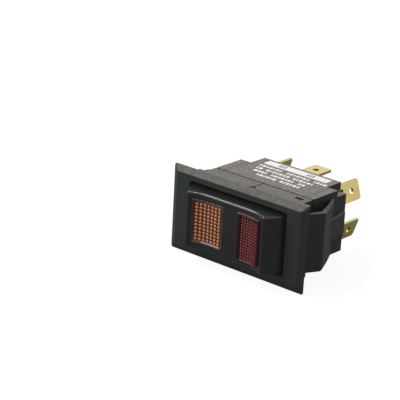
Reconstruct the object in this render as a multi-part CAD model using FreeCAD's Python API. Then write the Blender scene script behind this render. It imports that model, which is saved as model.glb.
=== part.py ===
import FreeCAD, Part
import math
import os
from FreeCAD import Vector

# Panel rocker switch, double pole, centre off, with an amber and a red lens.
# Frame: X along the bezel, +Y back from the panel, +Z up.
# The origin is the middle of the panel opening, on the back face of the bezel flange.

# How far a cut runs past a face, and how far joined blocks run into each other
cut_over = 1.0
overlap = 0.1
touch = 0.01

# Bezel flange
bezel_length = 50.0
bezel_height = 26.7
bezel_corner = 0.7
rim_thickness = 0.2
bevel_depth = 1.0
bevel_inset = 1.9

# Well that the rocker sits in
recess_length = 36.0
recess_height = 19.2
recess_corner = 0.5
recess_lead = 0.25
well_relief = 0.7

# Frame behind the flange
collar_length = 41.6
collar_depth = 6.2
body_height = 21.9
band_length = 36.5
frame_depth = 10.45
band_wall = 1.45
latch_pocket_height = 18.4
frame_end_wall = 1.1
pivot_slit = 0.4
window_length = 2.8
window_depth = 1.3
window_offset = 15.0
window_front = 7.7

# Snap tongues that hold the frame to the terminal base
tongue_width = 4.0
tongue_spacing = 18.0
tongue_thickness = 0.7
tongue_length = 4.0
hook_rise = 0.35
hook_length = 0.8
hook_setback = 0.8
tongue_root = 0.5
tongue_lift = 0.05

# Housing behind the frame
frame_gap = 0.5
cheek_inset = 0.05
cheek_thickness = 2.6
cheek_height = 17.8
cheek_back = 26.9
cheek_step_depth = 0.45
cheek_step_height = 4.5
wing_back = 22.4
deck_thickness = 1.4
stem_slot_clearance = 0.45
rib_rise = 0.4
rib_front_rise = 2.1
rib_height = 7.2
rib_length = 9.2
rib_chamfer = 0.35
rib_setback = 0.3

# Latch arms, hinged at the back of the cheeks and free at the front
latch_side_gap = 0.3
latch_root_y = 21.6
latch_root_length = 1.5
latch_peak_x = 24.1
latch_peak_y = 9.2
latch_tip_y = 3.0
latch_tip_x = 21.0
latch_root_thickness = 1.0
latch_peak_thickness = 1.6
latch_crown = 0.15
latch_bevel = 0.3
inner_crown = 0.2
inner_peak_setback = 0.2
inner_tip_setback = 0.4
crest_radius = 0.77
ejector_mark_radius = 0.8
ejector_mark_depth = 0.15
ejector_mark_z = -7.2
ejector_mark_setback = 2.0

# Terminal base
base_back = 29.1
base_wall = 1.5
base_end_wall = 1.2
raised_length = 28.9
floor_front = 19.0
core_depth = 6.0
core_inner_z = 1.0
core_outer_z = 3.6
core_margin = 1.0
core_setback = 3.4
fit_gap = 0.1

# Terminals, quick-connect tabs
tab_width = 6.3
tab_thickness = 0.8
tab_reach = 11.1
tab_tip_chamfer = 0.6
tab_tip_bevel = 0.2
tab_hole_radius = 0.95
tab_hole_setback = 4.1
slot_clearance = 0.05
outer_tab_x = 13.2
outer_tab_z = 6.1
outer_tab_tilt = 18.5
centre_tab_z = 8.9
shelf_length = 3.4
shelf_inner_z = 2.2
shelf_outer_z = 7.0
shelf_lap = 0.6

# Rocker
hinge_y = 5.0
rocker_throw = 9.0
rocker_side_gap = 0.8
face_y = -4.95
face_flat = 13.0
face_arc_radius = 17.0
end_gap = 0.25
rocker_wall = 1.6
rocker_side_wall = 1.2
rocker_edge = 0.6
crest_edge = 0.5
skirt_turn_y = -0.9
skirt_end_y = 1.7
web_thickness = 2.8
stem_thickness = 5.0
stem_height = 15.6
stem_end_y = 13.2
stem_root = 1.0
ear_radius = 2.6
trunnion_radius = 1.3
trunnion_setback = 0.25
trunnion_clearance = 0.05

# Lenses in the rocker
amber_left = -13.05
amber_width = 11.0
amber_height = 13.6
amber_rise = -0.15
amber_columns = 7
amber_rows = 11
amber_near_border = 0.75
amber_far_border = 0.95
amber_end_border = 0.85
red_left = 3.8
red_width = 8.6
red_height = 14.2
red_rise = 0.7
red_columns = 7
red_rows = 15
red_near_border = 1.6
red_far_border = 0.45
red_end_border = 0.45
lens_clearance = 0.05
lens_edge = 0.2
lens_lip = 0.6
lens_lip_thickness = 0.7
groove_depth = 0.3
groove_share = 0.9

# Poles: a plunger, its spring and a see-saw lever each
pole_z = 5.2
plunger_radius = 1.5
plunger_clearance = 0.05
plunger_length = 6.6
spring_room = 3.5
spring_wire = 0.32
spring_outer = 1.3
spring_turns = 4.5
spring_end_gap = 0.02
tip_gap = 0.03
lever_y = 15.5
lever_thickness = 0.8
lever_width = 4.6
lever_end_gap = 1.3
dish_half = 2.2
rib_radius = 0.6
rib_clearance = 0.05
contact_setback = 1.1
contact_gap = 0.9
contact_closed_gap = 0.05
contact_head_radius = 1.3
contact_dome = 0.2
rivet_shank_radius = 0.6
rivet_clearance = 0.02
fixed_head_height = 0.8
post_half = 1.6
post_height = 3.6

# Lamps
lamp_x = 8.6
bulb_radius = 2.1
bulb_tip_y = 1.0
lamp_seat_y = 10.0
lamp_foot_half = 1.26
lamp_foot_root = 0.5
socket_size = 6.0
socket_depth = 2.8
socket_corner = 0.75
socket_clearance = 0.05
strip_thickness = 0.3
strip_width = 1.2
strip_z = 1.4
strip_setback = 0.2
strip_lap = 1.0
strip_slot_clearance = 0.1

# Worked out from the sizes above
flange_thickness = rim_thickness + bevel_depth
face_plane = -flange_thickness
housing_front = frame_depth + frame_gap
latch_height = latch_pocket_height - 2 * latch_side_gap
cheek_outer = band_length / 2 - cheek_inset
cheek_inner = cheek_outer - cheek_thickness
base_half = cheek_inner - fit_gap
cavity_half = base_half - base_end_wall
cavity_z = body_height / 2 - base_wall
lever_reach = cavity_half - lever_end_gap
contact_reach = lever_reach - contact_setback
deck_back = housing_front + deck_thickness
rocker_height = recess_height - 2 * rocker_side_gap
trunnion_reach = body_height / 2 - trunnion_setback
amber_size = (amber_left, amber_width, amber_height)
amber_borders = (amber_near_border, amber_far_border, amber_end_border)
red_size = (red_left, red_width, red_height)
red_borders = (red_near_border, red_far_border, red_end_border)
end_radius = math.hypot(recess_length / 2 - end_gap, hinge_y)
swing = math.radians(rocker_throw)
stem_swing = (deck_back - hinge_y) * math.sin(swing) + stem_thickness / 2 * math.cos(swing)
stem_slot_half = stem_swing + stem_slot_clearance
stem_slot_height = stem_height + 2 * stem_slot_clearance
face_front = face_y - face_arc_radius
shelf_front = floor_front - tab_thickness
tab_tip = base_back + tab_reach
plunger_tip = lever_y - tip_gap
plunger_back = plunger_tip - plunger_length
bore_end = plunger_back - spring_room
pivot_y = lever_y + lever_thickness + rib_radius
fixed_face = shelf_front - fixed_head_height


def box(x0, x1, y0, y1, z0, z1):
    """A block between two corners."""
    return Part.makeBox(x1 - x0, y1 - y0, z1 - z0, Vector(x0, y0, z0))


def tunnel(half_x, half_z, y0, y1, corner=0.0):
    """A block centred on the Y axis, with its four long edges rounded."""
    block = box(-half_x, half_x, y0, y1, -half_z, half_z)
    if corner <= 0:
        return block
    edges = [e for e in block.Edges if abs(e.tangentAt(e.FirstParameter).y) > 0.9]
    return block.makeFillet(corner, edges)


def rounded_wire(half_x, half_z, y, corner):
    """A rounded rectangle in the plane at y."""
    cx, cz, k = half_x - corner, half_z - corner, corner * math.sqrt(0.5)
    edges = []
    for sx, sz in ((1, 1), (-1, 1), (-1, -1), (1, -1)):
        start = Vector(sx * half_x, y, sz * cz)
        end = Vector(sx * cx, y, sz * half_z)
        mid = Vector(sx * (cx + k), y, sz * (cz + k))
        if sx * sz < 0:
            start, end = end, start
        edges.append(Part.Arc(start, mid, end).toShape())
    arcs = list(edges)
    for a, b in zip(arcs, arcs[1:] + arcs[:1]):
        p = a.valueAt(a.LastParameter)
        q = b.valueAt(b.FirstParameter)
        edges.append(Part.LineSegment(p, q).toShape())
    return Part.Wire(Part.__sortEdges__(edges))


def prism(points, z0, z1):
    """A polygon in X and Y, raised from z0 to z1."""
    corners = [Vector(x, y, z0) for x, y in points]
    face = Part.Face(Part.makePolygon(corners + corners[:1]))
    return face.extrude(Vector(0, 0, z1 - z0))


def rod(x, z, radius, y0, y1):
    """A round bar along Y."""
    return Part.makeCylinder(radius, y1 - y0, Vector(x, y0, z), Vector(0, 1, 0))


def mirror_x(shape):
    """The same shape on the other side of X = 0."""
    return shape.mirror(Vector(0, 0, 0), Vector(1, 0, 0))


def mirror_z(shape):
    """The same shape on the other side of Z = 0."""
    return shape.mirror(Vector(0, 0, 0), Vector(0, 0, 1))


def both_x(shape):
    """A shape with its copy across X = 0."""
    return [shape, mirror_x(shape)]


def both_z(shape):
    """A shape with its copy across Z = 0."""
    return [shape, mirror_z(shape)]


def join(shapes):
    """All the shapes as one solid, with flush faces merged."""
    return shapes[0].multiFuse(shapes[1:]).removeSplitter()


def flange():
    """The bezel's rim and the shallow bevel in front of it."""
    rim = tunnel(bezel_length / 2, bezel_height / 2, -rim_thickness, 0, bezel_corner)
    back = rounded_wire(bezel_length / 2, bezel_height / 2, -rim_thickness, bezel_corner)
    front = rounded_wire(bezel_length / 2 - bevel_inset, bezel_height / 2 - bevel_inset,
                         face_plane, bezel_corner / 2)
    return rim, Part.makeLoft([back, front], True, True)


def tongues(grow=0.0):
    """Hooked tongues on the frame; grown, they are the pockets they snap into."""
    low = cavity_z + tongue_lift - grow
    top = cavity_z + tongue_lift + tongue_thickness + grow
    end = frame_depth + tongue_length
    hook = end - hook_setback
    shapes = []
    for side in (-1, 1):
        x = side * tongue_spacing / 2
        half = tongue_width / 2 + grow
        shapes.append(box(x - half, x + half, frame_depth - tongue_root, end + grow, low, top))
        shapes.append(box(x - half, x + half, hook - hook_length - grow, hook + grow,
                          low, top + hook_rise))
    return shapes + [mirror_z(s) for s in shapes]


def bezel_frame():
    """Flange, collar and band in one moulding, open through the middle."""
    collar = tunnel(collar_length / 2, body_height / 2, -touch, collar_depth)
    band = tunnel(band_length / 2, body_height / 2, 0, frame_depth)
    body = join(list(flange()) + [collar, band] + tongues())
    well_half = recess_length / 2 + well_relief
    past = body_height / 2 + cut_over
    mouth = rounded_wire(recess_length / 2 + recess_lead, recess_height / 2 + recess_lead,
                         face_plane, recess_corner + recess_lead)
    throat = rounded_wire(recess_length / 2, recess_height / 2, face_plane + recess_lead,
                          recess_corner)
    cuts = [tunnel(recess_length / 2, recess_height / 2, face_plane - cut_over, overlap,
                   recess_corner),
            Part.makeLoft([mouth, throat], True, True),
            tunnel(well_half, recess_height / 2, 0, collar_depth - band_wall),
            tunnel(band_length / 2 - band_wall, recess_height / 2, 0, frame_depth + cut_over)]
    pocket = box(well_half + frame_end_wall, bezel_length / 2, 0, collar_depth + cut_over,
                 -latch_pocket_height / 2, latch_pocket_height / 2)
    cuts += both_x(pocket)
    cuts.append(Part.makeCylinder(trunnion_radius + trunnion_clearance, 2 * past,
                                  Vector(0, hinge_y, -past)))
    cuts.append(box(-pivot_slit / 2, pivot_slit / 2, hinge_y, frame_depth + cut_over,
                    -past, past))
    cuts.append(box(window_offset - window_length / 2, window_offset + window_length / 2,
                    window_front, window_front + window_depth, -past, past))
    return body.cut(cuts)


def latch_arm():
    """The right-hand latch: a springy ramp with a sloping shoulder behind the flange."""
    root = Vector(cheek_outer - overlap, latch_root_y, 0)
    peak = Vector(latch_peak_x, latch_peak_y, 0)
    tip = Vector(latch_tip_x, latch_tip_y, 0)
    bulge = (root + peak) * 0.5 + Vector(latch_crown, latch_crown / 2, 0)
    inner_root = root + Vector(0, -latch_root_length, 0)
    inner_peak = peak + Vector(-latch_peak_thickness, inner_peak_setback, 0)
    inner_tip = tip + Vector(-latch_root_thickness, inner_tip_setback, 0)
    inner_bulge = (inner_root + inner_peak) * 0.5 + Vector(inner_crown, 0, 0)
    edges = [Part.Arc(root, bulge, peak).toShape(),
             Part.LineSegment(peak, tip).toShape(),
             Part.LineSegment(tip, inner_tip).toShape(),
             Part.LineSegment(inner_tip, inner_peak).toShape(),
             Part.Arc(inner_peak, inner_bulge, inner_root).toShape(),
             Part.LineSegment(inner_root, root).toShape()]
    face = Part.Face(Part.Wire(edges))
    arm = face.extrude(Vector(0, 0, latch_height))
    arm.translate(Vector(0, 0, -latch_height / 2))
    ramp = [e for e in arm.Edges if e.BoundBox.ZLength < touch
            and e.distToShape(Part.Vertex(bulge.x, bulge.y, e.BoundBox.ZMin))[0] < touch]
    arm = arm.makeChamfer(latch_bevel, ramp)
    crest = [e for e in arm.Edges
             if abs(e.tangentAt(e.FirstParameter).z) > 0.9
             and e.distToShape(Part.Vertex(peak))[0] < touch]
    arm = arm.makeFillet(crest_radius, crest)
    shoulder = (peak - tip).normalize()
    outward = Vector(shoulder.y, -shoulder.x, 0)
    mark_place = peak - shoulder * ejector_mark_setback - outward * ejector_mark_depth
    mark = Part.makeCylinder(ejector_mark_radius, latch_peak_thickness,
                             mark_place + Vector(0, 0, ejector_mark_z), outward)
    return arm.cut(mark)


def housing():
    """Two cheeks with the latch arms, the top wings, and the lamp deck between them."""
    half = cheek_height / 2
    cheek = box(cheek_inner, cheek_outer, housing_front, cheek_back, -half, half)
    step = box(cheek_inner - cut_over, cheek_outer + cut_over, cheek_back - cheek_step_depth,
               cheek_back + cut_over, -half - cut_over, -half + cheek_step_height)
    cheek = cheek.cut(step)
    wing = box(raised_length / 2 + fit_gap, band_length / 2, housing_front, wing_back,
               half, body_height / 2)
    rib_y = cheek_back - rib_length - rib_setback
    rib = prism([(cheek_outer - overlap, rib_y), (cheek_outer + rib_front_rise, rib_y),
                 (cheek_outer + rib_rise, rib_y + rib_length),
                 (cheek_outer - overlap, rib_y + rib_length)], -rib_height / 2, rib_height / 2)
    long_edges = [e for e in rib.Edges
                  if abs(e.tangentAt(e.FirstParameter).y) > 0.9
                  and e.BoundBox.XMin > cheek_outer + rib_rise / 2]
    rib = rib.makeChamfer(rib_chamfer, long_edges)
    deck = box(-cheek_inner, cheek_inner, housing_front, deck_back,
               -cavity_z + fit_gap, cavity_z - fit_gap)
    side = [cheek, wing, rib, latch_arm()]
    body = join([deck] + side + [mirror_x(s) for s in side])
    slot = box(-stem_slot_half, stem_slot_half, housing_front - cut_over, deck_back + cut_over,
               -stem_slot_height / 2, stem_slot_height / 2)
    return body.cut([slot] + strips(strip_slot_clearance))


def terminal_base():
    """The rear moulding: a box for the poles with a thick floor that holds the tabs."""
    body = join([box(-base_half, base_half, deck_back + fit_gap, base_back,
                     -cheek_height / 2 + fit_gap, cheek_height / 2 - fit_gap),
                 box(-raised_length / 2, raised_length / 2, housing_front, base_back,
                     -body_height / 2, body_height / 2)])
    cuts = [box(-cavity_half, cavity_half, housing_front - cut_over, floor_front,
                -cavity_z, cavity_z),
            box(-base_half, base_half, housing_front - cut_over, deck_back + fit_gap,
                -cavity_z, cavity_z)]
    cuts += tongues(fit_gap)
    for x0, x1 in core_spans():
        cuts += both_z(box(x0, x1, base_back - core_depth, base_back + cut_over,
                           core_inner_z, core_outer_z))
    body = body.cut(cuts)
    return body.cut(tab_slots())


def core_spans():
    """Where the floor is cored out from behind, between the tab columns."""
    inner = tab_width / 2 + core_margin
    outer = outer_tab_x - core_setback
    middle = tab_width / 2 - core_margin
    return ((-outer, -inner), (-middle, middle), (inner, outer))


def tab(y0):
    """A flat tab along Y in the plane Z = 0, with a chamfered tip and a hole."""
    half, cut = tab_width / 2, tab_tip_chamfer
    outline = [(-half, y0), (half, y0), (half, tab_tip - cut), (half - cut, tab_tip),
               (-half + cut, tab_tip), (-half, tab_tip - cut)]
    blade = prism(outline, -tab_thickness / 2, tab_thickness / 2)
    tip = [e for e in blade.Edges if e.BoundBox.YMin > tab_tip - cut - touch
           and e.BoundBox.ZLength < touch]
    blade = blade.makeChamfer(tab_tip_bevel, tip)
    hole = Part.makeCylinder(tab_hole_radius, tab_thickness * 2,
                             Vector(0, tab_tip - tab_hole_setback, -tab_thickness))
    return blade.cut(hole)


def place_outer(shape):
    """Stand a flat tab up and lean it inboard, as in the upper right corner."""
    shape = shape.copy()
    shape.rotate(Vector(0, 0, 0), Vector(0, 1, 0), 90 - outer_tab_tilt)
    shape.translate(Vector(outer_tab_x, 0, outer_tab_z))
    return shape


def outer_terminal():
    """The upper right terminal: a leaning tab with a shelf for its contact."""
    shelf = box(contact_reach - shelf_length / 2, outer_tab_x + shelf_lap, shelf_front,
                floor_front, shelf_inner_z, shelf_outer_z)
    body = join([place_outer(tab(shelf_front)), shelf])
    return body.cut(rod(contact_reach, pole_z, rivet_shank_radius + rivet_clearance,
                        shelf_front - cut_over, floor_front + cut_over))


def centre_terminal():
    """The upper centre terminal: a level tab, a shelf and the lever's cradle."""
    blade = tab(shelf_front)
    blade.translate(Vector(0, 0, centre_tab_z))
    shelf = box(-tab_width / 2, tab_width / 2, shelf_front, floor_front,
                pole_z - post_height / 2, centre_tab_z + tab_thickness / 2)
    post = box(-post_half, post_half, pivot_y, shelf_front,
               pole_z - post_height / 2, pole_z + post_height / 2)
    body = join([blade, shelf, post])
    notch = Part.makeCylinder(rib_radius + rib_clearance, 2 * post_height,
                              Vector(0, pivot_y, pole_z - post_height))
    return body.cut(notch)


def tab_slots():
    """Slots through the floor, with a clearance all round each tab."""
    half = tab_width / 2 + slot_clearance
    thick = tab_thickness / 2 + slot_clearance
    flat = box(-half, half, shelf_front, base_back + cut_over, -thick, thick)
    centre = flat.copy()
    centre.translate(Vector(0, 0, centre_tab_z))
    outer = place_outer(flat)
    slots = [centre] + both_x(outer)
    return slots + [mirror_z(s) for s in slots]


def circle_crossing(centre_a, radius_a, centre_b, radius_b):
    """Where two circles meet, on the side with the larger X."""
    ax, ay = centre_a
    bx, by = centre_b
    span = math.hypot(bx - ax, by - ay)
    along = (radius_a ** 2 - radius_b ** 2 + span ** 2) / (2 * span)
    off = math.sqrt(radius_a ** 2 - along ** 2)
    ux, uy = (bx - ax) / span, (by - ay) / span
    options = [(ax + along * ux + s * off * uy, ay + along * uy - s * off * ux)
               for s in (-1, 1)]
    return max(options)


def rocker_outline(inset, back_y):
    """The rocker's section in X and Y, drawn in by an inset, as a face at Z = 0."""
    front = face_y + inset
    flat = face_flat / 2
    face_centre = (flat, face_y - face_arc_radius)
    face_radius = face_arc_radius + inset
    round_end = end_radius - inset
    crest = circle_crossing(face_centre, face_radius, (0, hinge_y), round_end)
    turn_y = skirt_turn_y
    turn = (math.sqrt(round_end ** 2 - (hinge_y - turn_y) ** 2), turn_y)
    mid_x = (flat + crest[0]) / 2
    mid_face = (mid_x, face_centre[1] + math.sqrt(face_radius ** 2 - (mid_x - flat) ** 2))
    mid_y = (crest[1] + turn_y) / 2
    mid_end = (math.sqrt(round_end ** 2 - (hinge_y - mid_y) ** 2), mid_y)

    def v(p, side=1):
        return Vector(side * p[0], p[1], 0)

    edges = [Part.LineSegment(v((flat, front), -1), v((flat, front))).toShape()]
    for side in (1, -1):
        edges.append(Part.Arc(v((flat, front), side), v(mid_face, side), v(crest, side)).toShape())
        edges.append(Part.Arc(v(crest, side), v(mid_end, side), v(turn, side)).toShape())
        edges.append(Part.LineSegment(v(turn, side), v((turn[0], back_y), side)).toShape())
    edges.append(Part.LineSegment(v((turn[0], back_y)), v((turn[0], back_y), -1)).toShape())
    return Part.Face(Part.Wire(Part.__sortEdges__(edges)))


def rocker_block(inset, half_z, back_y):
    """The rocker's section raised to both sides of Z = 0."""
    block = rocker_outline(inset, back_y).extrude(Vector(0, 0, 2 * half_z))
    block.translate(Vector(0, 0, -half_z))
    return block


def round_front(block, half_z):
    """Round the crests and the long front edges of the rocker."""
    crests = [e for e in block.Edges
              if abs(e.tangentAt(e.FirstParameter).z) > 0.9
              and e.BoundBox.YMax < face_y - overlap]
    block = block.makeFillet(crest_edge, crests)
    rims = [e for e in block.Edges
            if e.BoundBox.ZLength < touch and abs(abs(e.BoundBox.ZMin) - half_z) < touch
            and e.BoundBox.YMax < skirt_turn_y + touch]
    return block.makeFillet(rocker_edge, rims)


def lens_window(left, width, height, grow, y1):
    """A block where a lens passes the rocker's wall."""
    half = height / 2 + grow
    return box(left - grow, left + width + grow, face_front, y1, -half, half)


def rocker():
    """The hollow rocker with its pivot ears, trunnions and plunger stem."""
    half = rocker_height / 2
    inner = half - rocker_side_wall
    shell = round_front(rocker_block(0.0, half, skirt_end_y), half)
    shell = shell.cut(rocker_block(rocker_wall, inner, skirt_end_y + cut_over))
    web = box(-web_thickness / 2, web_thickness / 2, face_y + rocker_wall - overlap, hinge_y,
              -inner - overlap, inner + overlap)
    stem = box(-stem_thickness / 2, stem_thickness / 2, hinge_y - stem_root, stem_end_y,
               -stem_height / 2, stem_height / 2)
    ear = Part.makeCylinder(ear_radius, rocker_height, Vector(0, hinge_y, -half))
    ear_root = box(-ear_radius, ear_radius, skirt_end_y - stem_root, hinge_y, -half, half)
    hollow = box(-stem_thickness, stem_thickness, face_y + rocker_wall,
                 hinge_y + ear_radius + cut_over, -inner, inner)
    ears = ear.fuse(ear_root).cut(hollow)
    pin = Part.makeCylinder(trunnion_radius, 2 * trunnion_reach,
                            Vector(0, hinge_y, -trunnion_reach))
    body = join([shell, web, stem, ears, pin])
    cuts = [lens_window(*size, 0, face_y + rocker_wall + overlap)
            for size in (amber_size, red_size)]
    for z in (-pole_z, pole_z):
        cuts.append(rod(0, z, plunger_radius + plunger_clearance, bore_end,
                        stem_end_y + cut_over))
    return body.cut(cuts)


def surface_at(x, rise):
    """The Y of a lens's face at a place along X, raised from the rocker's face."""
    beyond = max(0.0, abs(x) - face_flat / 2)
    return face_y - face_arc_radius + math.sqrt((face_arc_radius - rise) ** 2 - beyond ** 2)


def groove_rows(near, far, side, rise, half, rows):
    """Grooves along X that follow a lens's face, flat in the middle, round outside."""
    flat = face_flat / 2
    surface = face_y - rise
    radius = face_arc_radius - rise
    centre = Vector(side * flat, face_y - face_arc_radius, 0)
    pitch = 2 * half / rows
    wide = pitch / 2 * groove_share
    a0 = math.degrees(math.asin((max(near, flat) - flat) / radius))
    a1 = math.degrees(math.asin((far - flat) / radius))

    def notch(x, z):
        corners = [Vector(side * x, surface - touch, z - wide),
                   Vector(side * x, surface - touch, z + wide),
                   Vector(side * x, surface + groove_depth, z)]
        return Part.Face(Part.makePolygon(corners + corners[:1]))

    cuts = []
    for i in range(rows + 1):
        z = -half + i * pitch
        if near < flat:
            cuts.append(notch(near, z).extrude(Vector(side * (flat - near), 0, 0)))
        face = notch(flat, z)
        face.rotate(centre, Vector(0, 0, 1), -side * a0)
        cuts.append(face.revolve(centre, Vector(0, 0, 1), -side * (a1 - a0)))
    return cuts


def groove_columns(near, far, side, rise, half, columns):
    """Grooves along Z across a lens."""
    pitch = (far - near) / columns
    wide = pitch / 2 * groove_share
    cuts = []
    for i in range(columns + 1):
        x = near + i * pitch
        y0 = surface_at(x - wide, rise) - touch
        y1 = surface_at(x + wide, rise) - touch
        tip = surface_at(x, rise) + groove_depth
        cuts.append(prism([(side * (x - wide), y0), (side * (x + wide), y1),
                           (side * x, tip)], -half, half))
    return cuts


def lens(size, rise, columns, rows, borders):
    """A moulded lens: a lipped plate that follows the rocker's face, with a prism field."""
    left, width, height = size
    inner_half = rocker_height / 2 - rocker_side_wall
    plate = rocker_block(-rise, inner_half, skirt_end_y)
    plate = plate.common(lens_window(*size, -lens_clearance, face_y + rocker_wall))
    outline = [e for e in plate.Edges
               if e.BoundBox.YMax < surface_at(e.CenterOfMass.x, rise) + lens_edge]
    plate = plate.makeFillet(lens_edge, outline)
    inner = rocker_block(rocker_wall, inner_half, skirt_end_y)
    deep = rocker_block(rocker_wall + lens_lip_thickness, inner_half + cut_over,
                        skirt_end_y + cut_over)
    lip = inner.cut(deep).common(lens_window(*size, lens_lip, skirt_end_y))
    body = join([plate.cut(deep), lip])
    side = 1 if left > 0 else -1
    near_border, far_border, end_border = borders
    near = min(abs(left), abs(left + width)) + near_border
    far = max(abs(left), abs(left + width)) - far_border
    half = height / 2 - end_border
    return body.cut(groove_rows(near, far, side, rise, half, rows)
                    + groove_columns(near, far, side, rise, half, columns))


def dish_radius():
    """The lever's dish, so that the turning plunger keeps its gap as the lever tips."""
    ratio = lever_ratio()
    arm = plunger_tip - hinge_y - plunger_radius
    behind = pivot_y - lever_y
    front = plunger_radius + tip_gap
    top = (arm ** 2 + arm * front - 2 * ratio * arm * behind
           + ratio ** 2 * behind * (behind + front))
    return top / (arm + 2 * ratio * arm - ratio ** 2 * (behind + front))


def lever_ratio():
    """How far the lever tips for each degree that the rocker turns."""
    tip = math.degrees(math.asin((contact_gap - contact_closed_gap) / contact_reach))
    return tip / rocker_throw


def lever():
    """The upper see-saw: a dished strip with a rounded rib that sits in the cradle."""
    radius = dish_radius()
    centre_y = lever_y - radius
    edge_y = centre_y + math.sqrt(radius ** 2 - dish_half ** 2)
    outer = radius + lever_thickness
    back_y = edge_y + lever_thickness
    back_half = math.sqrt(outer ** 2 - (back_y - centre_y) ** 2)
    z0 = pole_z - lever_width / 2

    def v(x, y):
        return Vector(x, y, z0)

    edges = [Part.LineSegment(v(-lever_reach, edge_y), v(-dish_half, edge_y)),
             Part.Arc(v(-dish_half, edge_y), v(0, lever_y), v(dish_half, edge_y)),
             Part.LineSegment(v(dish_half, edge_y), v(lever_reach, edge_y)),
             Part.LineSegment(v(lever_reach, edge_y), v(lever_reach, back_y)),
             Part.LineSegment(v(lever_reach, back_y), v(back_half, back_y)),
             Part.Arc(v(back_half, back_y), v(0, lever_y + lever_thickness),
                      v(-back_half, back_y)),
             Part.LineSegment(v(-back_half, back_y), v(-lever_reach, back_y)),
             Part.LineSegment(v(-lever_reach, back_y), v(-lever_reach, edge_y))]
    face = Part.Face(Part.Wire([e.toShape() for e in edges]))
    strip = face.extrude(Vector(0, 0, lever_width))
    rib = Part.makeCylinder(rib_radius, lever_width, v(0, pivot_y))
    neck = box(-rib_radius, rib_radius, lever_y + lever_thickness / 2, pivot_y,
               z0, z0 + lever_width)
    body = join([strip, rib, neck])
    holes = [rod(s * contact_reach, pole_z, rivet_shank_radius + rivet_clearance,
                 edge_y - cut_over, back_y + cut_over) for s in (-1, 1)]
    return body.cut(holes), edge_y, back_y


def contact_head(x, y0, y1, facing):
    """A rivet head between two planes, domed on the side it faces."""
    head = rod(x, pole_z, contact_head_radius, y0, y1)
    ball_radius = (contact_head_radius ** 2 + contact_dome ** 2) / (2 * contact_dome)
    ball_y = y1 - ball_radius if facing > 0 else y0 + ball_radius
    ball = Part.makeSphere(ball_radius, Vector(x, ball_y, pole_z))
    return head.common(ball)


def moving_contact(front_y, back_y):
    """The upper right lever contact, riveted through the strip."""
    face = fixed_face - contact_gap
    head = contact_head(contact_reach, back_y, face, 1)
    shank = rod(contact_reach, pole_z, rivet_shank_radius, front_y, back_y + touch)
    return join([head, shank])


def fixed_contact():
    """The upper right fixed contact, riveted through its shelf."""
    head = contact_head(contact_reach, fixed_face, shelf_front, -1)
    shank = rod(contact_reach, pole_z, rivet_shank_radius, shelf_front - touch, floor_front)
    return join([head, shank])


def plunger():
    """The upper plunger, a round bar with a ball nose."""
    nose_y = plunger_tip - plunger_radius
    return join([rod(0, pole_z, plunger_radius, plunger_back, nose_y),
                 Part.makeSphere(plunger_radius, Vector(0, nose_y, pole_z))])


def spring():
    """The upper plunger spring, a coil between the bore's end and the plunger."""
    start = bore_end + spring_wire / 2 + spring_end_gap
    end = plunger_back - spring_wire / 2 - spring_end_gap
    pitch = (end - start) / spring_turns
    mean = spring_outer - spring_wire / 2
    path = Part.makeHelix(pitch, end - start, mean)
    ring = Part.Wire(Part.makeCircle(spring_wire / 2, Vector(mean, 0, 0), Vector(0, 1, 0)))
    coil = Part.Wire(path.Edges).makePipeShell([ring], True, True)
    coil.rotate(Vector(0, 0, 0), Vector(1, 0, 0), -90)
    coil.translate(Vector(0, start, pole_z))
    return coil


def lamp():
    """The right-hand lamp: a sealed bulb with a rounded tip and a wedge foot."""
    tip = bulb_tip_y + bulb_radius
    bulb = join([rod(lamp_x, 0, bulb_radius, tip, lamp_seat_y),
                 Part.makeSphere(bulb_radius, Vector(lamp_x, tip, 0))])
    foot_half = strip_z - strip_thickness / 2
    foot = box(lamp_x - lamp_foot_half, lamp_x + lamp_foot_half, lamp_seat_y - lamp_foot_root,
               housing_front, -foot_half, foot_half)
    return join([bulb, foot])


def lamp_socket():
    """The right-hand lamp holder, a square collar on the deck."""
    half = socket_size / 2
    block = tunnel(half, half, housing_front - socket_depth, housing_front, socket_corner)
    block.translate(Vector(lamp_x, 0, 0))
    hole = rod(lamp_x, 0, bulb_radius + socket_clearance,
               housing_front - socket_depth - cut_over, housing_front + cut_over)
    return block.cut(hole)


def strip(grow=0.0):
    """The upper right lamp strip: from the lamp's foot through the deck to the shelf."""
    half = strip_width / 2 + grow
    z0 = strip_z - strip_thickness / 2 - grow
    z1 = strip_z + strip_thickness / 2 + grow
    leg = box(lamp_x - half, lamp_x + half, lamp_seat_y + strip_setback, shelf_front, z0, z1)
    if grow > 0:
        return leg
    foot = box(lamp_x - half, contact_reach + rivet_shank_radius,
               shelf_front - strip_thickness, shelf_front, z0, shelf_inner_z + strip_lap)
    return join([leg, foot])


def strips(grow=0.0):
    """The four lamp strips, or with growth the slots they need."""
    one = strip(grow)
    return [s for pair in both_x(one) for s in both_z(pair)]


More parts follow.
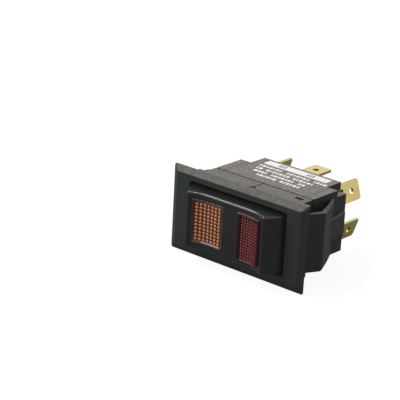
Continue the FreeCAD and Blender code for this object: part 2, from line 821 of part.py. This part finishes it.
def build():
    """Every piece by its node's name."""
    pieces = {"bezel_frame": bezel_frame(), "housing": housing(),
              "terminal_base": terminal_base(), "rocker": rocker(),
              "amber_lens": lens(amber_size, amber_rise, amber_columns, amber_rows,
                                 amber_borders),
              "red_lens": lens(red_size, red_rise, red_columns, red_rows, red_borders)}
    see_saw, front_y, back_y = lever()
    uppers = {"terminal_{}_centre": centre_terminal(), "lever_{}": see_saw,
              "plunger_{}": plunger(), "plunger_spring_{}": spring()}
    for name, shape in uppers.items():
        pieces[name.format("upper")] = shape
        pieces[name.format("lower")] = mirror_z(shape)
    corners = {"terminal_{}_{}": outer_terminal(), "fixed_contact_{}_{}": fixed_contact(),
               "moving_contact_{}_{}": moving_contact(front_y, back_y),
               "lamp_strip_{}_{}": strip()}
    for name, shape in corners.items():
        pieces[name.format("upper", "right")] = shape
        pieces[name.format("upper", "left")] = mirror_x(shape)
        pieces[name.format("lower", "right")] = mirror_z(shape)
        pieces[name.format("lower", "left")] = mirror_z(mirror_x(shape))
    for name, shape in {"lamp_{}": lamp(), "lamp_socket_{}": lamp_socket()}.items():
        pieces[name.format("right")] = shape
        pieces[name.format("left")] = mirror_x(shape)
    return pieces


os.makedirs("parts", exist_ok=True)
for node, piece in build().items():
    piece.exportStep("parts/" + node + ".step")
    print(node, "solids", len(piece.Solids), "valid", piece.isValid(),
          "volume", round(piece.Volume, 2))
print("lever ratio", round(lever_ratio(), 5), "dish radius", round(dish_radius(), 3))
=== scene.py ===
import math
from collections import namedtuple

import bpy
from bpy.props import FloatProperty, FloatVectorProperty, PointerProperty
from mathutils import Matrix, Vector


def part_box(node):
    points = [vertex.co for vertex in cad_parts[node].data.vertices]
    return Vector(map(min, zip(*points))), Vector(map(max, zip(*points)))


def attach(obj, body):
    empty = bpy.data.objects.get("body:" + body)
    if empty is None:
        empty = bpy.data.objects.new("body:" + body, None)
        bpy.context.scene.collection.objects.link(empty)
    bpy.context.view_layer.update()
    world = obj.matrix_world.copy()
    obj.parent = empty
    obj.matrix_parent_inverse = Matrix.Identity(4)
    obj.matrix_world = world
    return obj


bl_info = {
    "name": "Panel rocker switch finishes",
    "version": (1, 0, 0),
    "blender": (4, 5, 0),
    "location": "3D View > Sidebar > Rocker switch",
    "description": "Finishes, print and studio for a panel rocker switch with two lenses",
    "category": "Object",
}

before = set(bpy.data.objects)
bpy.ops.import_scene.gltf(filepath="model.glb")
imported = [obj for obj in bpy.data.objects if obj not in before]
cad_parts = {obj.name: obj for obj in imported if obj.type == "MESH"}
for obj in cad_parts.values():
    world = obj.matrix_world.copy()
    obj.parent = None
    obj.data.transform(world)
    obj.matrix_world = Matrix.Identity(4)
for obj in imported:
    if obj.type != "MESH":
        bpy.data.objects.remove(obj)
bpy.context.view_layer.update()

MM = 0.001
IMAGE_SIDE = 400
SENSOR_WIDTH = 36.0
BLACK = (0.0, 0.0, 0.0)
WHITE = (1.0, 1.0, 1.0)
FLOOR_SIDE = 6.0

HOUSING = ("housing", "terminal_base")
BASE_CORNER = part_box("terminal_base")[1]
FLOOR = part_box("bezel_frame")[0].z

# Half-lengths along the bezel: where the base meets the cheeks, and where the latch arms begin
SEAM = BASE_CORNER.x
LATCHES = SEAM + 4.0 * MM

# Rectangles seen from the front, in millimetres
Outline = namedtuple("Outline", "left right bottom top")
AMBER_OUTLINE = Outline(-13.05, -2.05, -6.8, 6.8)
AMBER_FIELD = Outline(-12.1, -2.8, -5.95, 5.95)
RED_OUTLINE = Outline(3.8, 12.4, -7.1, 7.1)
RED_FIELD = Outline(5.3, 12.1, -6.65, 5.8)

# Prisms of a lens: columns, rows, how far the painted highlight of a tip spreads,
# and the gloss of the border
Prisms = namedtuple("Prisms", "columns rows spread gloss")
AMBER_PRISMS = Prisms(7, 11, 0.20, 1.0)
RED_PRISMS = Prisms(7, 14, 0.25, 0.1)

# The print: where each row of bars starts and ends, and the bars' widths in turn, in millimetres
ROW_SPANS = ((-12.6, 13.6), (-10.6, 10.0), (-9.6, 9.4), (-6.6, 8.6))
BAR_WIDTHS = (0.95, 0.6, 1.2, 0.75, 1.05, 0.5)

# From the band to the middle of the first row, as a share of the row pitch
FIRST_ROW = 0.75

# Lamps: the place, the way that the long side runs, and the sides, in metres
Softbox = namedtuple("Softbox", "place way long_side short_side")
TOP_SOFTBOX = Softbox((-0.285, -0.065, 0.467), (0.79, -0.36, 0.50), 0.36, 0.10)
FRONT_SOFTBOX = Softbox((-0.36, -0.41, 0.24), (0.80, -0.45, 0.40), 0.38, 0.38)


def colour(description, default):
    """A colour that a user may change."""
    return FloatVectorProperty(name=description, description=description, subtype="COLOR",
                               size=3, min=0.0, max=1.0, default=default)


def length(name, description, millimetres):
    """A length that a user may change, kept in metres."""
    return FloatProperty(name=name, description=description, default=millimetres * MM,
                         unit="LENGTH", precision=5)


class FinishSettings(bpy.types.PropertyGroup):
    """Colours of the mouldings, the lenses and the metal."""

    housing: colour("Black of the housing mouldings", (0.0190, 0.0240, 0.0215))
    # Painted sheen: light painted onto the up-facing tops of the mouldings, mottled by the grain
    housing_sheen: colour("Grey bloom on the housing's grain", (0.208, 0.184, 0.150))
    bezel_sheen: colour("Grey bloom on the bezel's grain", (0.150, 0.129, 0.104))
    rocker: colour("Black of the rocker", (0.0095, 0.0122, 0.0112))
    # Painted glow: a faint emission that lifts black plastic in deep gaps
    painted_glow: colour("Faint grey of black plastic in deep gaps", (0.0036, 0.0044, 0.0040))
    amber_dark: colour("Amber lens between its prisms", (0.115, 0.019, 0.005))
    # Painted highlight on the amber lens's prism tips
    amber_tip_highlight: colour("Amber lens on its prism tips", (0.620, 0.300, 0.130))
    amber_edge: colour("Amber lens along its border", (0.050, 0.014, 0.010))
    # Painted highlight along the amber lens's rim
    amber_rim_highlight: colour("Amber lens on its rim", (0.300, 0.210, 0.195))
    red_dark: colour("Red lens between its prisms", (0.080, 0.007, 0.009))
    # Painted highlight on the red lens's prism tips
    red_tip_highlight: colour("Red lens on its prism tips", (0.175, 0.030, 0.035))
    red_edge: colour("Red lens along its border", (0.024, 0.009, 0.010))
    # Painted highlight along the red lens's rim
    red_rim_highlight: colour("Red lens on its rim", (0.130, 0.034, 0.044))
    brass: colour("Rolled brass of the tabs", (0.755, 0.610, 0.225))
    copper: colour("Copper of the levers and strips", (0.780, 0.460, 0.300))
    silver: colour("Silver of the contact rivets", (0.800, 0.800, 0.780))
    nylon: colour("Natural nylon", (0.720, 0.690, 0.600))
    spring: colour("Drawn steel of the springs", (0.550, 0.560, 0.570))
    ink: colour("White printing ink", (0.820, 0.802, 0.750))
    print_dark: colour("Dark marks on the white band", (0.030, 0.032, 0.030))


class PrintSettings(bpy.types.PropertyGroup):
    """Sizes of the plain printed block on top of the terminal base."""

    band_width: length("Band width", "Length of the white band along the bezel", 23.6)
    band_depth: length("Band depth", "Depth of the white band from front to back", 3.2)
    band_setback: length("Band setback", "From the base's back edge to the band", 1.1)
    band_shift: length("Band shift", "How far the band's middle lies to the right", 0.3)
    band_rounding: length("Band rounding", "Radius of the band's corners", 0.2)
    mark_width: length("Mark width", "Width of a dark mark on the band", 0.55)
    mark_depth: length("Mark depth", "Depth of a dark mark from front to back", 1.7)
    mark_pitch: length("Mark pitch", "From one dark mark to the next", 1.0)
    mark_group: length("Mark group", "From the middle of the base to a group of marks", 5.3)
    mark_rounding: length("Mark rounding", "Radius of a mark's corners", 0.1)
    row_pitch: length("Row pitch", "Distance from one row of bars to the next", 2.45)
    bar_height: length("Bar height", "Depth of each bar from front to back", 1.35)
    bar_gap: length("Bar gap", "Gap between two bars of a row", 0.42)
    bar_rounding: length("Bar rounding", "Radius of a bar's corners", 0.12)
    ink_thickness: length("Ink thickness", "How far the ink stands on the moulding", 0.012)


class StageSettings(bpy.types.PropertyGroup):
    """The camera, the lamps, the room light and the floor."""

    azimuth: FloatProperty(name="Azimuth", description="Camera's turn to the object's right",
                           default=math.radians(39.965), subtype="ANGLE", unit="ROTATION")
    elevation: FloatProperty(name="Elevation", description="Camera's height above the level",
                             default=math.radians(20.18), subtype="ANGLE", unit="ROTATION")
    roll: FloatProperty(name="Roll", description="Camera's roll", subtype="ANGLE",
                        default=math.radians(3.094), unit="ROTATION")
    distance: length("Distance", "From the camera to the point that it looks at", 503.6)
    aim: FloatVectorProperty(name="Aim", description="The point in the middle of the image",
                             subtype="TRANSLATION", size=3, precision=5, unit="LENGTH",
                             default=(-14.87 * MM, 0.0, 4.21 * MM))
    focal_pixels: FloatProperty(name="Focal length in pixels", default=1715.0,
                                description="Focal length for an image 400 pixels wide")
    top_light: FloatProperty(name="Top lamp", description="Power of the overhead softbox",
                             default=2.3, unit="POWER")
    front_light: FloatProperty(name="Front lamp", description="Power of the large softbox in "
                               "front, on the left", default=1.3, unit="POWER")
    room_light: FloatProperty(name="Room light", default=0.38,
                              description="Strength of the even light from all round")
    floor_white: FloatProperty(name="Floor white", default=0.92,
                               description="White that the floor adds for the camera")
    floor_mirrored: FloatProperty(name="Mirrored floor", default=0.12,
                                  description="Share of that white in the switch's reflections")
    floor_grey: colour("Grey of the floor itself", (0.12, 0.12, 0.12))


class Value:
    """A shader socket that takes arithmetic: each step adds the Math node it needs."""

    def __init__(self, graph, socket):
        self.graph = graph
        self.socket = socket

    def step(self, operation, *others, first=None):
        """One Math node, with this socket first unless another value goes before it."""
        values = ((self,) if first is None else (first, self)) + others
        return self.graph.node("Math", {"operation": operation}, dict(enumerate(values)))

    def __add__(self, other):
        return self.step("ADD", other)

    def __sub__(self, other):
        return self.step("SUBTRACT", other)

    def __rsub__(self, other):
        return self.step("SUBTRACT", first=other)

    def __mul__(self, other):
        return self.step("MULTIPLY", other)

    def __truediv__(self, other):
        return self.step("DIVIDE", other)

    def __abs__(self):
        return self.step("ABSOLUTE")

    def fraction(self):
        """What is left of the value after its whole part."""
        return self.step("FRACT")

    def smaller(self, other):
        """The smaller of two values."""
        return self.step("MINIMUM", other)

    def larger(self, other):
        """The larger of two values."""
        return self.step("MAXIMUM", other)

    def rise(self, low, high):
        """A smooth step from 0 at low to 1 at high."""
        return self.graph.node("MapRange", {"interpolation_type": "SMOOTHSTEP"},
                               {0: self, 1: low, 2: high, 3: 0.0, 4: 1.0})

    __radd__ = __add__
    __rmul__ = __mul__


class Graph:
    """The nodes of one material, ending in its shader, or of the world."""

    def __init__(self, name, world_tree=None):
        self.tree = world_tree
        if world_tree:
            return
        self.material = bpy.data.materials.new(name)
        self.material.use_nodes = True
        self.tree = self.material.node_tree
        self.shader = self.tree.nodes["Principled BSDF"]
        self.place = self.node("TexCoord", out="Object")
        split = self.node("SeparateXYZ", None, {0: self.place}).socket.node
        self.x, self.y, self.z = (Value(self, split.outputs[i]) for i in range(3))

    def feed(self, socket, value):
        """Link a value to a socket, or set the socket to a number or a colour."""
        if isinstance(value, Value):
            self.tree.links.new(value.socket, socket)
        elif hasattr(value, "__len__") and len(value) == 3 and len(socket.default_value) == 4:
            socket.default_value = (*value, 1.0)
        else:
            socket.default_value = value

    def node(self, kind, settings=None, feeds=None, out=0):
        """A new node of a kind, with its settings made first and its sockets fed after."""
        made = self.tree.nodes.new("ShaderNode" + kind)
        for key, value in (settings or {}).items():
            setattr(made, key, value)
        for key, value in (feeds or {}).items():
            self.feed(made.inputs[key], value)
        return Value(self, made.outputs[out])

    def blend(self, low, high, share):
        """A colour between two colours."""
        return self.node("Mix", {"data_type": "RGBA"}, {0: share, 6: low, 7: high}, out=2)

    def noise(self, size, detail=3.0, stretch=(1.0, 1.0, 1.0), harsh=0.5):
        """Noise from 0 to 1 whose blotches are about a size across, in metres."""
        place = self.node("Mapping", None, {"Vector": self.place, "Scale": stretch})
        return self.node("TexNoise", None, {"Vector": place, "Scale": 1.0 / size,
                                            "Detail": detail, "Roughness": harsh})

    def bump(self, height, depth, strength=1.0):
        """Feed the shader's normal with a height from 0 to 1 over a depth in metres."""
        normal = self.node("Bump", None, {"Height": height, "Distance": depth,
                                          "Strength": strength})
        self.feed(self.shader.inputs["Normal"], normal)

    def set(self, **feeds):
        """Feed the shader's sockets, named with underscores for spaces."""
        for key, value in feeds.items():
            self.feed(self.shader.inputs[key.replace("_", " ").title().replace("Ior", "IOR")],
                      value)
        return self.material


def dress(material, *nodes):
    """Give CAD nodes a material in place of their plain one."""
    for name in nodes:
        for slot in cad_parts[name].material_slots:
            slot.material = material


def moulding_finish(name, black, pale, painted_glow, slant, level, seams=False):
    """Black moulded plastic: eroded grain, a pale painted sheen on the top where it faces up,
    mottled by the grain, and a faint painted glow that lifts the black in deep gaps.

    The painted sheen starts on faces whose normal rises by slant and is full at level. With
    seams, it leaves out the lines beside the base and the latch arms.
    """
    grain_size, grain_depth, patch_size = 0.7 * MM, 0.03 * MM, 4.0 * MM
    sheen_start, sheen_full = 7.5 * MM, 8.8 * MM
    seam_edge, seam_fade, latch_fade = 0.10 * MM, 0.30 * MM, 0.4 * MM
    g = Graph(name)
    grain = g.noise(grain_size, detail=4.0, harsh=0.62)
    patches = g.noise(patch_size)
    upward = g.node("NewGeometry", out="Normal")
    tilt = Value(g, g.node("SeparateXYZ", None, {0: upward}).socket.node.outputs[2])
    # Painted sheen: high faces that look up are lightened as if lit from above
    upper = g.z.rise(sheen_start, sheen_full)
    mottle = grain.rise(0.37, 0.63) * 0.56 + patches * 0.28 + 0.16
    sheen = tilt.rise(slant, level) * upper * mottle
    if seams:
        off_seam = abs(abs(g.x) - SEAM).rise(seam_edge, seam_fade)
        on_latch = abs(g.x).rise(LATCHES, LATCHES + latch_fade)
        sheen = sheen * off_seam * (1.0 - on_latch * 0.9)
    g.bump(grain, grain_depth, 0.7)
    # The emission is a painted glow that lifts the black in deep gaps
    return g.set(base_color=g.blend(black, pale, sheen),
                 roughness=0.36 + grain * 0.20, specular_ior_level=0.35,
                 emission_color=painted_glow, emission_strength=1.0)


def rocker_finish(s):
    """Smooth black plastic with a satin gloss, faint flow lines and a faint painted glow."""
    grain_size, grain_depth, flow_size = 0.22 * MM, 0.003 * MM, 3.0 * MM
    flow_stretch = (1.0, 1.0, 0.35)
    g = Graph("rocker_plastic")
    grain = g.noise(grain_size, detail=2.0)
    flow = g.noise(flow_size, stretch=flow_stretch)
    tone = 0.8 + flow * 0.4
    shade = g.node("VectorMath", {"operation": "SCALE"}, {0: tuple(s.rocker), 3: tone})
    g.bump(grain, grain_depth, 0.4)
    # The emission is a painted glow that lifts the black in deep gaps
    return g.set(base_color=shade, roughness=0.11 + flow * 0.06 + grain * 0.03,
                 specular_ior_level=0.5, emission_color=s.painted_glow, emission_strength=1.0)


def depth_inside(g, outline):
    """How far within an outline a place lies, seen from the front, in metres."""
    left, right, bottom, top = (v * MM for v in outline)
    depth_x = (right - left) / 2 - abs(g.x - (left + right) / 2)
    depth_z = (top - bottom) / 2 - abs(g.z - (bottom + top) / 2)
    return depth_x.smaller(depth_z)


def lens_finish(name, tints, outline, field, prisms):
    """A clear coloured lens: painted highlights on its prism tips and its thin rim, dark
    grooves, a plain border and a faint painted glow.
    """
    field_fade, rim_depth, rim_edge, rim_fade = 0.05 * MM, 0.12 * MM, 0.06 * MM, 0.16 * MM
    cloud_size = 1.6 * MM
    dark, light, edge, rim_highlight = tints
    left, right, bottom, top = (v * MM for v in field)
    g = Graph(name)
    across = (g.x - left) / ((right - left) / prisms.columns)
    along = (g.z - bottom) / ((top - bottom) / prisms.rows)
    off_x = abs(across.fraction() - 0.5)
    off_z = abs(along.fraction() - 0.5)
    tip = 1.0 - (off_x * off_x + off_z * off_z).rise(0.02, prisms.spread)
    in_field = depth_inside(g, field).rise(0.0, field_fade)
    off_rim = abs(depth_inside(g, outline) - rim_depth)
    rim = 1.0 - off_rim.rise(rim_edge, rim_fade)
    uneven = g.noise(cloud_size, detail=2.0)
    # Painted highlights: light on the prism tips, and a light line along the rim
    middle = g.blend(dark, light, tip * (0.62 + uneven * 0.7))
    border = g.blend(edge, rim_highlight, rim * 0.9)
    shade = g.blend(border, middle, in_field)
    # The emission is a faint painted glow in the lens's own colours
    return g.set(base_color=shade, roughness=0.16 + uneven * 0.10,
                 coat_weight=(1.0 - in_field) * prisms.gloss, coat_roughness=0.08,
                 emission_color=shade, emission_strength=0.12, specular_ior_level=0.15)


def rolled_metal(name, tint, roughness, streak):
    """Rolled metal: fine streaks that run from front to back, and slight tarnish."""
    line_size, line_depth, tarnish_size = 0.25 * MM, 0.004 * MM, 3.5 * MM
    line_stretch = (1.0, 0.12, 1.0)
    g = Graph(name)
    lines = g.noise(line_size, stretch=line_stretch)
    tarnish = g.noise(tarnish_size, detail=4.0)
    worn = tuple(c * 0.72 for c in tint)
    shade = g.blend(worn, tuple(tint), 0.35 + tarnish * 0.4 + lines * 0.25)
    g.bump(lines, line_depth, streak)
    return g.set(base_color=shade, metallic=1.0, roughness=roughness + lines * 0.10)


def nylon_finish(s):
    """Natural nylon, slightly waxy, with soft clouding."""
    cloud_size, grain_size, grain_depth, scatter = 1.6 * MM, 0.2 * MM, 0.004 * MM, 1.0 * MM
    g = Graph("natural_nylon")
    cloud = g.noise(cloud_size)
    shade = g.blend(tuple(c * 0.86 for c in s.nylon), tuple(s.nylon), cloud)
    g.bump(g.noise(grain_size, detail=2.0), grain_depth, 0.4)
    return g.set(base_color=shade, roughness=0.40 + cloud * 0.12, subsurface_weight=0.15,
                 subsurface_scale=scatter)


def glass_finish():
    """Clear lamp glass, very slightly wavy and uneven in tint."""
    wave_size, wave_depth = 1.2 * MM, 0.003 * MM
    clear, milky = (0.93, 0.94, 0.92), (0.85, 0.86, 0.84)
    g = Graph("lamp_glass")
    waves = g.noise(wave_size, detail=2.0)
    shade = g.blend(clear, milky, waves)
    g.bump(waves, wave_depth, 0.3)
    return g.set(base_color=shade, roughness=0.03 + waves * 0.04, transmission_weight=0.85,
                 ior=1.47)


def ink_finish(name, tint):
    """Screen-printed ink, a little thin in places."""
    patch_size = 0.35 * MM
    g = Graph(name)
    thin = g.noise(patch_size)
    shade = g.blend(tuple(c * 0.82 for c in tint), tuple(tint), thin.rise(0.25, 0.55))
    return g.set(base_color=shade, roughness=0.55 + thin * 0.15)


def add_tile(name, centre_x, centre_y, size_x, size_y, base_z, height, rounding):
    """A thin tile on a level face, with rounded corners."""
    bpy.ops.object.select_all(action="DESELECT")
    bpy.ops.mesh.primitive_plane_add(size=1.0, location=(centre_x, centre_y, base_z))
    tile = bpy.context.object
    tile.name = name
    tile.scale = (size_x, size_y, 1.0)
    bpy.ops.object.transform_apply(location=True, rotation=False, scale=True)
    bpy.ops.object.mode_set(mode="EDIT")
    bpy.ops.mesh.select_all(action="SELECT")
    bpy.ops.mesh.bevel(offset=rounding, segments=3, affect="VERTICES")
    bpy.ops.mesh.select_all(action="SELECT")
    bpy.ops.mesh.extrude_region_move(TRANSFORM_OT_translate={"value": (0, 0, height)})
    bpy.ops.mesh.select_all(action="SELECT")
    bpy.ops.mesh.normals_make_consistent(inside=False)
    bpy.ops.object.mode_set(mode="OBJECT")
    return tile


def copy_tile(tile, shift_x, shift_y):
    """A copy of a tile, with its own mesh, shifted on the level."""
    bpy.ops.object.select_all(action="DESELECT")
    tile.select_set(True)
    bpy.context.view_layer.objects.active = tile
    bpy.ops.object.duplicate(linked=False)
    bpy.ops.transform.translate(value=(shift_x, shift_y, 0.0))
    bpy.ops.object.transform_apply(location=True, rotation=False, scale=False)
    return bpy.context.object


def join(name, parts):
    """Join meshes into one, named object at the origin."""
    bpy.ops.object.select_all(action="DESELECT")
    for part in parts:
        part.select_set(True)
    bpy.context.view_layer.objects.active = parts[0]
    bpy.ops.object.join()
    whole = bpy.context.object
    whole.name = name
    return whole


def ink_piece(piece, material):
    """Finish a printed piece and let it ride on the switch's body."""
    piece.data.materials.clear()
    piece.data.materials.append(material)
    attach(piece, "body")


class SWITCH_OT_finish_mouldings(bpy.types.Operator):
    """Finish the bezel frame, the housing and the terminal base"""

    bl_idname = "rocker_switch.finish_mouldings"
    bl_label = "Finish the mouldings"

    def execute(self, context):
        s = context.scene.switch_finish
        housing = moulding_finish("housing_plastic", s.housing, s.housing_sheen, s.painted_glow,
                                  slant=0.6, level=0.97, seams=True)
        bezel = moulding_finish("bezel_plastic", s.housing, s.bezel_sheen, s.painted_glow,
                                slant=0.05, level=0.55)
        dress(housing, *HOUSING)
        dress(bezel, "bezel_frame")
        return {"FINISHED"}


class SWITCH_OT_finish_rocker(bpy.types.Operator):
    """Finish the rocker"""

    bl_idname = "rocker_switch.finish_rocker"
    bl_label = "Finish the rocker"

    def execute(self, context):
        dress(rocker_finish(context.scene.switch_finish), "rocker")
        return {"FINISHED"}


class SWITCH_OT_finish_lenses(bpy.types.Operator):
    """Finish the amber and the red lens"""

    bl_idname = "rocker_switch.finish_lenses"
    bl_label = "Finish the lenses"

    def execute(self, context):
        s = context.scene.switch_finish
        amber = (s.amber_dark, s.amber_tip_highlight, s.amber_edge, s.amber_rim_highlight)
        red = (s.red_dark, s.red_tip_highlight, s.red_edge, s.red_rim_highlight)
        dress(lens_finish("amber_lens", amber, AMBER_OUTLINE, AMBER_FIELD, AMBER_PRISMS),
              "amber_lens")
        dress(lens_finish("red_lens", red, RED_OUTLINE, RED_FIELD, RED_PRISMS), "red_lens")
        return {"FINISHED"}


class SWITCH_OT_finish_metal(bpy.types.Operator):
    """Finish the tabs, the levers, the strips, the contacts and the springs"""

    bl_idname = "rocker_switch.finish_metal"
    bl_label = "Finish the metal"

    def execute(self, context):
        s = context.scene.switch_finish
        metals = {"terminal_": rolled_metal("brass_tab", s.brass, 0.20, 0.5),
                  "lever_": rolled_metal("contact_copper", s.copper, 0.26, 0.5),
                  "contact_": rolled_metal("contact_silver", s.silver, 0.22, 0.3),
                  "spring_": rolled_metal("spring_steel", s.spring, 0.28, 0.3)}
        metals["strip_"] = metals["lever_"]
        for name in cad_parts:
            for key, material in metals.items():
                if key in name and name not in HOUSING:
                    dress(material, name)
        return {"FINISHED"}


class SWITCH_OT_finish_inner(bpy.types.Operator):
    """Finish the plungers, the lamps and their sockets"""

    bl_idname = "rocker_switch.finish_inner"
    bl_label = "Finish the inner pieces"

    def execute(self, context):
        nylon = nylon_finish(context.scene.switch_finish)
        glass = glass_finish()
        dress(nylon, "plunger_upper", "plunger_lower", "lamp_socket_right", "lamp_socket_left")
        dress(glass, "lamp_right", "lamp_left")
        return {"FINISHED"}


def is_space(bar, row):
    """Whether a row has a gap in place of this bar, as between two words."""
    return (bar * 7 + row * 3) % 8 == 0


class SWITCH_OT_add_print(bpy.types.Operator):
    """Add the plain printed block: a white band with marks, and rows of bars"""

    bl_idname = "rocker_switch.add_print"
    bl_label = "Add the print"

    def execute(self, context):
        p = context.scene.switch_print
        s = context.scene.switch_finish
        white = ink_finish("white_ink", s.ink)
        dark = ink_finish("dark_ink", s.print_dark)
        band_y = BASE_CORNER.y - p.band_setback - p.band_depth / 2
        band = add_tile("print_band", p.band_shift, band_y, p.band_width, p.band_depth,
                        BASE_CORNER.z, p.ink_thickness, p.band_rounding)
        ink_piece(band, white)
        ink_piece(self.add_marks(p, band_y), dark)
        self.add_rows(p, band_y - p.band_depth / 2, white)
        return {"FINISHED"}

    def add_marks(self, p, band_y):
        """Two groups of three dark marks on the band, all copies of one."""
        mark = add_tile("mark", 0.0, band_y, p.mark_width, p.mark_depth,
                        BASE_CORNER.z + p.ink_thickness, p.ink_thickness, p.mark_rounding)
        marks = [copy_tile(mark, side * p.mark_group + step * p.mark_pitch, 0.0)
                 for side in (-1, 1) for step in (-1, 0, 1)]
        bpy.data.objects.remove(mark)
        return join("print_marks", marks)

    def add_rows(self, p, front_of_band, ink):
        """Rows of bars in front of the band: one pattern for each width, and its copies."""
        patterns = [add_tile("bar", 0.0, 0.0, width * MM, p.bar_height, BASE_CORNER.z,
                             p.ink_thickness, p.bar_rounding) for width in BAR_WIDTHS]
        for row, (start, end) in enumerate(ROW_SPANS):
            y = front_of_band - (row + FIRST_ROW) * p.row_pitch
            x = start * MM
            bar = row
            bars = []
            while x < end * MM:
                turn = bar % len(BAR_WIDTHS)
                width = BAR_WIDTHS[turn] * MM
                if not is_space(bar, row):
                    bars.append(copy_tile(patterns[turn], x + width / 2, y))
                x += width + p.bar_gap
                bar += 1
            ink_piece(join("print_row_%d" % (row + 1), bars), ink)
        for pattern in patterns:
            bpy.data.objects.remove(pattern)


def sight(g):
    """1 for what the camera sees, and 1 for what it sees in a mirror or through glass."""
    path = g.node("LightPath").socket.node
    rays = [Value(g, path.outputs["Is %s Ray" % kind])
            for kind in ("Camera", "Glossy", "Transmission")]
    return rays[0], rays[1].larger(rays[2])


class SWITCH_OT_build_stage(bpy.types.Operator):
    """Build the floor, the lamps, the room light and the camera"""

    bl_idname = "rocker_switch.build_stage"
    bl_label = "Build the stage"

    def execute(self, context):
        s = context.scene.switch_stage
        bpy.ops.object.select_all(action="DESELECT")
        bpy.ops.mesh.primitive_plane_add(size=FLOOR_SIDE, location=(0, 0, FLOOR))
        floor = bpy.context.object
        floor.name = "floor"
        g = Graph("pale_floor")
        straight, mirrored = sight(g)
        glow = g.blend(BLACK, WHITE, straight + mirrored * s.floor_mirrored)
        g.set(base_color=s.floor_grey, roughness=0.9, specular_ior_level=0.1,
              emission_color=glow, emission_strength=s.floor_white)
        floor.data.materials.append(g.material)
        self.add_lamp("top_softbox", TOP_SOFTBOX, s.top_light)
        self.add_lamp("front_softbox", FRONT_SOFTBOX, s.front_light)
        self.add_world(s.room_light)
        self.add_camera(s)
        context.scene.view_settings.view_transform = "Standard"
        return {"FINISHED"}

    def add_lamp(self, name, box, power):
        """A softbox that faces the switch, with its long side running its way."""
        data = bpy.data.lights.new(name, "AREA")
        data.shape = "RECTANGLE"
        data.size = box.short_side
        data.size_y = box.long_side
        data.energy = power
        lamp = bpy.data.objects.new(name, data)
        place = Vector(box.place)
        way = Vector(box.way)
        back = place.normalized()
        along = (way - back * back.dot(way)).normalized()
        turn = Matrix((along.cross(back), along, back)).transposed().to_4x4()
        lamp.matrix_world = Matrix.Translation(place) @ turn
        bpy.context.scene.collection.objects.link(lamp)

    def add_world(self, strength):
        """Even light all round, seen as white by the camera."""
        world = bpy.data.worlds.new("studio")
        world.use_nodes = True
        tree = world.node_tree
        back = tree.nodes["Background"]
        g = Graph(None, tree)
        straight, mirrored = sight(g)
        g.feed(back.inputs["Strength"],
               strength + straight.larger(mirrored) * (1.0 - strength))
        g.feed(back.inputs["Color"], WHITE)
        bpy.context.scene.world = world

    def add_camera(self, s):
        """The photograph's camera: its place from an aim, a distance and two angles."""
        away = Vector((math.sin(s.azimuth) * math.cos(s.elevation),
                       -math.cos(s.azimuth) * math.cos(s.elevation), math.sin(s.elevation)))
        data = bpy.data.cameras.new("camera")
        data.sensor_width = SENSOR_WIDTH
        data.lens = s.focal_pixels * SENSOR_WIDTH / IMAGE_SIDE
        data.clip_start = 0.01
        data.clip_end = 20.0
        camera = bpy.data.objects.new("camera", data)
        turn = (-away).to_track_quat("-Z", "Y").to_matrix().to_4x4()
        camera.matrix_world = (Matrix.Translation(Vector(s.aim) + away * s.distance)
                               @ turn @ Matrix.Rotation(s.roll, 4, "Z"))
        bpy.context.scene.collection.objects.link(camera)
        bpy.context.scene.camera = camera


STEPS = (SWITCH_OT_finish_mouldings, SWITCH_OT_finish_rocker, SWITCH_OT_finish_lenses,
         SWITCH_OT_finish_metal, SWITCH_OT_finish_inner, SWITCH_OT_add_print,
         SWITCH_OT_build_stage)


class SWITCH_PT_panel(bpy.types.Panel):
    """Lists the switch's settings and steps."""

    bl_idname = "SWITCH_PT_panel"
    bl_label = "Rocker switch"
    bl_space_type = "VIEW_3D"
    bl_region_type = "UI"
    bl_category = "Rocker switch"

    def draw(self, context):
        for name in ("switch_finish", "switch_print", "switch_stage"):
            group = getattr(context.scene, name)
            box = self.layout.box()
            for key in group.bl_rna.properties.keys():
                if key not in ("rna_type", "name"):
                    box.prop(group, key)
        for step in STEPS:
            self.layout.operator(step.bl_idname)


GROUPS = {"switch_finish": FinishSettings, "switch_print": PrintSettings,
          "switch_stage": StageSettings}


def register():
    """Add the settings, the steps and the panel."""
    for name, group in GROUPS.items():
        bpy.utils.register_class(group)
        setattr(bpy.types.Scene, name, PointerProperty(type=group))
    for cls in STEPS + (SWITCH_PT_panel,):
        bpy.utils.register_class(cls)


def unregister():
    """Take away the panel, the steps and the settings."""
    for cls in reversed(STEPS + (SWITCH_PT_panel,)):
        bpy.utils.unregister_class(cls)
    for name, group in GROUPS.items():
        delattr(bpy.types.Scene, name)
        bpy.utils.unregister_class(group)


def main():
    """Run every step in order."""
    register()
    bpy.ops.rocker_switch.finish_mouldings()
    bpy.ops.rocker_switch.finish_rocker()
    bpy.ops.rocker_switch.finish_lenses()
    bpy.ops.rocker_switch.finish_metal()
    bpy.ops.rocker_switch.finish_inner()
    bpy.ops.rocker_switch.add_print()
    bpy.ops.rocker_switch.build_stage()


if __name__ == "__main__":
    main()
